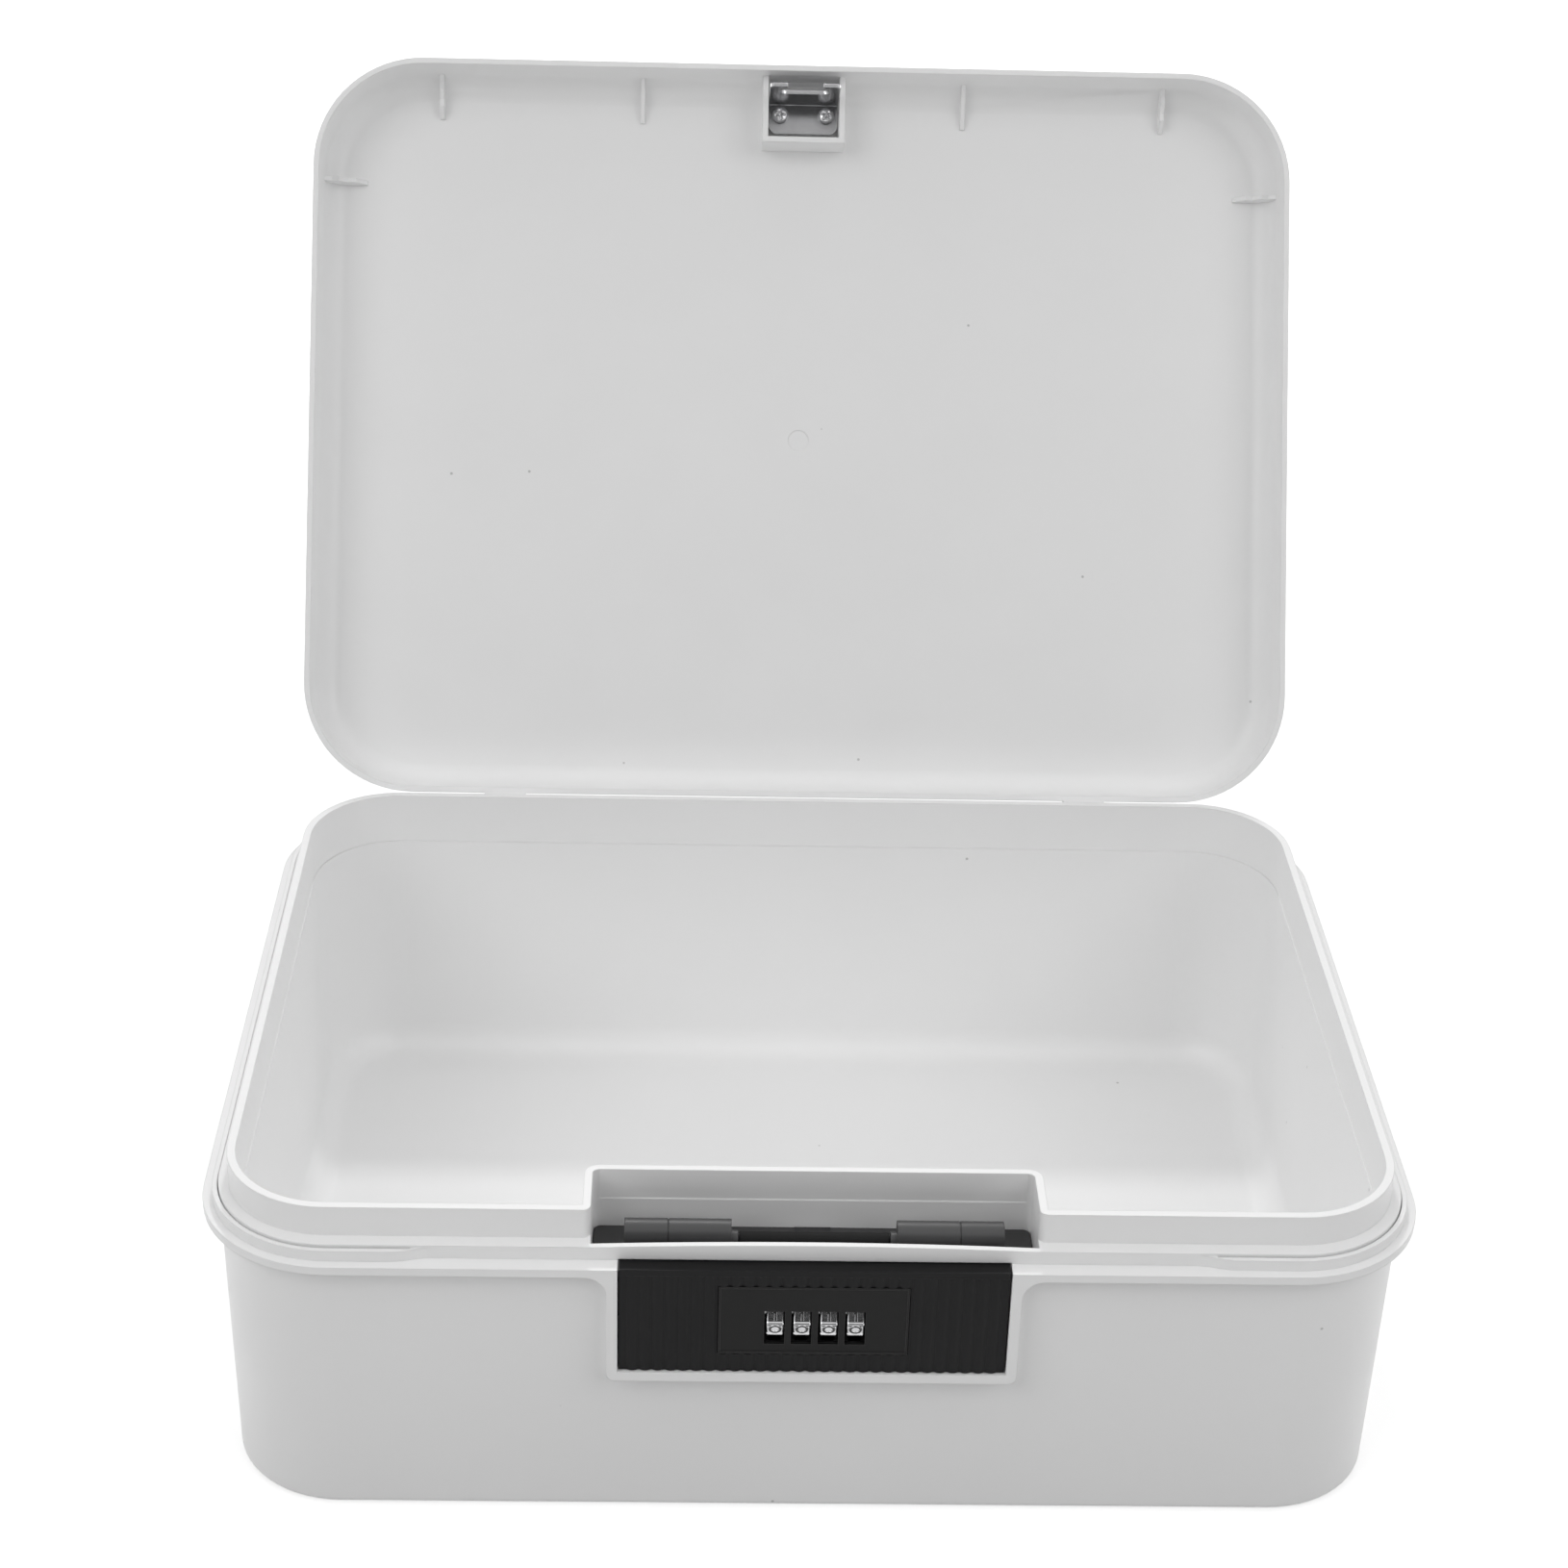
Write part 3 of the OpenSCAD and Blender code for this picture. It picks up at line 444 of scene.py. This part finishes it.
dial_axis = Vector((0, -119.5, 68.0))
dial_pitch, first_to_middle = 7.35, 0.6
facets, facet_angle, dial_tilt = 10, 36, -13
corner_r, bore_r, sunk = 7.16, 3.03, 0.2
half_wide, bevel_in, bevel_scale = 2.3, 0.32, 0.984
flat_steps = ((0, 0), (0.07, 0), (0.15, sunk), (0.78, sunk), (0.86, sunk), (0.94, 0))
# Faces of each flat that are painted black: a painted reflection along its top, under the ridge.
painted_band_steps = (3, 4)
digit_wide, digit_high, digit_r = 2.85, 2.6, 6.61


def on_wheel(x, y, z):
    return (x * MM, (dial_axis.y + y) * MM, (dial_axis.z + z) * MM)


def wheel_profile():
    """The wheel's outline seen from its side: ten sunk flats with a ridge between them."""
    outline = []
    for k in range(facets):
        a, b = (math.radians(dial_tilt - facet_angle / 2 + facet_angle * (k + n)) for n in (0, 1))
        mid = (a + b) / 2
        for along, deep in flat_steps:
            outline.append([corner_r * (turn(a) * (1 - along) + turn(b) * along) - deep * turn(mid)
                            for turn in (math.cos, math.sin)])
    return outline


for number in range(1, 5):
    middle = first_to_middle + (number - 2.5) * dial_pitch
    wheel = bmesh.new()
    profile = wheel_profile()
    count = len(profile)
    rings = []
    for x, part in ((-half_wide, bevel_scale), (-half_wide + bevel_in, 1), (half_wide - bevel_in, 1),
                    (half_wide, bevel_scale)):
        rings.append([wheel.verts.new(on_wheel(middle + x, -part * c, part * d)) for c, d in profile])
    bores = []
    for x in (-half_wide, half_wide):
        turns = (math.radians(dial_tilt - facet_angle / 2 + 360 / count * k) for k in range(count))
        bores.append([wheel.verts.new(on_wheel(middle + x, -bore_r * math.cos(a), bore_r * math.sin(a)))
                      for a in turns])
    for k in range(count):
        n = (k + 1) % count
        for i in range(3):
            side = wheel.faces.new((rings[i][k], rings[i][n], rings[i + 1][n], rings[i + 1][k]))
            # Painted reflection: the band's faces take the black material.
            side.material_index = int(k % len(flat_steps) in painted_band_steps and i == 1)
        for ring, bore in ((rings[0], bores[0]), (rings[3], bores[1])):
            wheel.faces.new((ring[n], ring[k], bore[k], bore[n]))
        wheel.faces.new((bores[0][k], bores[0][n], bores[1][n], bores[1][k]))
    bmesh.ops.recalc_face_normals(wheel, faces=wheel.faces)
    for k, lines in enumerate(digit_lines):
        tilt = math.radians(dial_tilt + facet_angle * k)
        out = Vector((0, -math.cos(tilt), math.sin(tilt)))
        up = Vector((0, math.sin(tilt), math.cos(tilt)))

        def place(p, height):
            flat = Vector((middle, dial_axis.y, dial_axis.z)) + out * (digit_r + height)
            return (flat + Vector((1, 0, 0)) * p.x + up * p.y) * MM

        for line in lines:
            scaled = [(digit_wide * x, digit_high * y) for x, y in line]
            ribbon(wheel, scaled, place, 0.42, 0.32, -0.02, 0.13, 0)
            ribbon(wheel, scaled, place, 0.26, 0.26, 0.0, 0.15, 1)
    mesh = bpy.data.meshes.new(f"dial_{number}_mesh")
    wheel.to_mesh(mesh)
    wheel.free()
    shown = bpy.data.objects.new(f"dial_{number}_shown", mesh)
    bpy.context.scene.collection.objects.link(shown)
    for mat in (plated, black_fill_and_painted_band):
        mesh.materials.append(mat)
    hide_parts(f"dial_{number}")
    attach(shown, f"dial_{number}_body")
    dress(f"dial_{number}", plated)

# Return springs: two coil springs of bright wire behind the release panel, round the lock
# frame's pegs. They push the panel back out.
spring_tree = bpy.data.node_groups.new("return_spring", "GeometryNodeTree")
spring_tree.interface.new_socket("Geometry", in_out="INPUT", socket_type="NodeSocketGeometry")
spring_inputs = {}
turns, coil_r, wire_r, spring_l = 9.0, 2.65 * MM, 0.34 * MM, 19.9 * MM
for label, value in (("Turns", turns), ("Coil radius", coil_r), ("Wire radius", wire_r),
                     ("Length", spring_l)):
    spring_inputs[label] = spring_tree.interface.new_socket(label, in_out="INPUT",
                                                            socket_type="NodeSocketFloat")
    spring_inputs[label].default_value = value
spring_tree.interface.new_socket("Geometry", in_out="OUTPUT", socket_type="NodeSocketGeometry")
start, end = spring_tree.nodes.new("NodeGroupInput"), spring_tree.nodes.new("NodeGroupOutput")
coil = spring_tree.nodes.new("GeometryNodeCurveSpiral")
coil.inputs["Resolution"].default_value = 28
wire = spring_tree.nodes.new("GeometryNodeCurvePrimitiveCircle")
wire.inputs["Resolution"].default_value = 12
solid = spring_tree.nodes.new("GeometryNodeCurveToMesh")
solid.inputs["Fill Caps"].default_value = True
spread = spring_tree.nodes.new("GeometryNodeInstanceOnPoints")
spread.inputs["Rotation"].default_value = (-math.pi / 2, 0, 0)
real = spring_tree.nodes.new("GeometryNodeRealizeInstances")
paint = spring_tree.nodes.new("GeometryNodeSetMaterial")
paint.inputs["Material"].default_value = steel
for a, b in ((start.outputs["Turns"], coil.inputs["Rotations"]),
             (start.outputs["Coil radius"], coil.inputs["Start Radius"]),
             (start.outputs["Coil radius"], coil.inputs["End Radius"]),
             (start.outputs["Length"], coil.inputs["Height"]),
             (start.outputs["Wire radius"], wire.inputs["Radius"]),
             (coil.outputs["Curve"], solid.inputs["Curve"]),
             (wire.outputs["Curve"], solid.inputs["Profile Curve"]),
             (start.outputs["Geometry"], spread.inputs["Points"]),
             (solid.outputs["Mesh"], spread.inputs["Instance"]),
             (spread.outputs["Instances"], real.inputs["Geometry"]),
             (real.outputs["Geometry"], paint.inputs["Geometry"]),
             (paint.outputs["Geometry"], end.inputs["Geometry"])):
    spring_tree.links.new(a, b)
spring_ends = bpy.data.meshes.new("return_spring_ends")
spring_x, spring_front, spring_z = 38 * MM, -125.1 * MM, 63.68 * MM
spring_ends.from_pydata([(s * spring_x, spring_front + wire_r, spring_z) for s in (-1, 1)], [], [])
springs = bpy.data.objects.new("return_springs_shown", spring_ends)
bpy.context.scene.collection.objects.link(springs)
grown = springs.modifiers.new("coils", "NODES")
grown.node_group = spring_tree
grown[spring_inputs["Turns"].identifier] = turns
bake(springs)
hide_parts("return_springs")
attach(springs, "panel")
dress("return_springs", steel)

# Floor: a wide pale sheet under the box that takes its soft shadow.
floor_mesh = bpy.data.meshes.new("floor")
floor_mesh.from_pydata([(-9, -9, 0), (9, -9, 0), (9, 9, 0), (-9, 9, 0)], [], [(0, 1, 2, 3)])
floor = bpy.data.objects.new("floor", floor_mesh)
bpy.context.scene.collection.objects.link(floor)
floor.location.z = -0.0002
pale, pale_tree, pale_shader, pale_where = new_material("pale_floor")
pale_tint = ramp(pale_tree, noise(pale_tree, pale_where, 3, 2, 0.5, (-800, 200)),
                 [(0.3, (0.6, 0.6, 0.6)), (0.7, (0.62, 0.62, 0.62))], (-500, 200))
pale_tree.links.new(pale_tint, pale_shader.inputs["Base Color"])
pale_shader.inputs["Roughness"].default_value = 0.8
pale_shader.inputs["Emission Color"].default_value = (1, 1, 1, 1)


def combine(tree, kind, first, second, place):
    made = tree.nodes.new("ShaderNodeMath")
    made.operation = kind
    made.location = place
    tree.links.new(first, made.inputs[0])
    tree.links.new(second, made.inputs[1])
    return made.outputs[0]


def seen_directly(tree, place):
    """1 where the camera or a reflection looks and 0 for other light, then the camera's own."""
    rays = tree.nodes.new("ShaderNodeLightPath")
    rays.location = (place[0] - 600, place[1])
    mirrored = combine(tree, "MAXIMUM", rays.outputs["Is Glossy Ray"], rays.outputs["Is Transmission Ray"],
                       (place[0] - 400, place[1]))
    by_eye = rays.outputs["Is Camera Ray"]
    return combine(tree, "MAXIMUM", by_eye, mirrored, (place[0] - 200, place[1])), by_eye


# Painted glow: the floor glows for the camera and in reflections, weaker near the box so that its shadow
# shows, and at full strength from 0.9 m out.
from_box = pale_tree.nodes.new("ShaderNodeVectorMath")
from_box.operation = "LENGTH"
from_box.location = (-400, -500)
pale_tree.links.new(pale_where, from_box.inputs[0])
brightening = remap(pale_tree, from_box.outputs["Value"], 0.3, 0.9, 0.57, 1.0, (0, -500))
floor_seen, _ = seen_directly(pale_tree, (200, -300))
pale_tree.links.new(combine(pale_tree, "MULTIPLY", floor_seen, brightening, (200, -300)),
                    pale_shader.inputs["Emission Strength"])
floor_mesh.materials.append(pale)

# Surround: white to the eye and in reflections, with the dim studio behind the camera, and
# an even soft light on the box.
world = bpy.data.worlds.new("studio")
bpy.context.scene.world = world
world.use_nodes = True
sky = world.node_tree
glow = sky.nodes["Background"]
glow.inputs["Color"].default_value = (1, 1, 1, 1)
look = sky.nodes.new("ShaderNodeTexCoord")
facing = sky.nodes.new("ShaderNodeVectorMath")
facing.operation = "DOT_PRODUCT"
facing.inputs[1].default_value = (-0.028, -0.939, 0.342)
sky.links.new(look.outputs["Generated"], facing.inputs[0])
room = remap(sky, facing.outputs["Value"], 0.87, 0.965, 1.0, 0.03, (-300, -200))
any_seen, by_camera = seen_directly(sky, (-300, 0))
reflected = sky.nodes.new("ShaderNodeMix")
reflected.inputs["B"].default_value = 1.0
sky.links.new(by_camera, reflected.inputs["Factor"])
sky.links.new(room, reflected.inputs["A"])
even_light = 0.68
soft = remap(sky, facing.outputs["Value"], 0.1, 0.9, even_light, 0.0, (-300, -400))
total = sky.nodes.new("ShaderNodeMix")
sky.links.new(soft, total.inputs["A"])
sky.links.new(any_seen, total.inputs["Factor"])
sky.links.new(reflected.outputs["Result"], total.inputs["B"])
sky.links.new(total.outputs["Result"], glow.inputs["Strength"])


def soft_panel(name, place, size, power):
    lamp = bpy.data.lights.new(name, "AREA")
    lamp.shape = "RECTANGLE"
    lamp.size, lamp.size_y = size
    lamp.energy = power
    holder = bpy.data.objects.new(name, lamp)
    holder.location = place
    holder.rotation_euler = (Vector((0, 0, 0.1)) - Vector(place)).to_track_quat("-Z", "Y").to_euler()
    bpy.context.scene.collection.objects.link(holder)


soft_panel("top_panel", (0, 0, 2.1), (1.6, 1.6), 3.6)
soft_panel("left_front_panel", (-1.15, -1.15, 1.4), (1.4, 1.4), 12.8)
soft_panel("right_front_panel", (1.15, -1.15, 1.4), (1.4, 1.4), 10.7)
soft_panel("back_spot", (0, 1.2, 1.6), (0.05, 0.05), 6.8)

# Camera: the photo's place and lens, found by fitting the box's edges.
azimuth, elevation, roll = (math.radians(v) for v in (-1.828, 27.968, 1.698))
reach, target = 906.82 * MM, Vector((-8.363 * MM, 0, 168.366 * MM))
back = Vector((math.sin(azimuth) * math.cos(elevation), -math.cos(azimuth) * math.cos(elevation),
               math.sin(elevation)))
right = Vector((math.cos(azimuth), math.sin(azimuth), 0))
up = back.cross(right)
cam_right = right * math.cos(roll) + up * math.sin(roll)
cam_up = -right * math.sin(roll) + up * math.cos(roll)
lens = bpy.data.cameras.new("camera")
lens.sensor_width = 36
lens.lens = 70.807
lens.clip_start, lens.clip_end = 0.05, 50
camera = bpy.data.objects.new("camera", lens)
turn = Matrix((cam_right, cam_up, back)).transposed().to_4x4()
camera.matrix_world = Matrix.Translation(target + back * reach) @ turn
bpy.context.scene.collection.objects.link(camera)
bpy.context.scene.camera = camera
bpy.context.scene.view_settings.view_transform = "Standard"
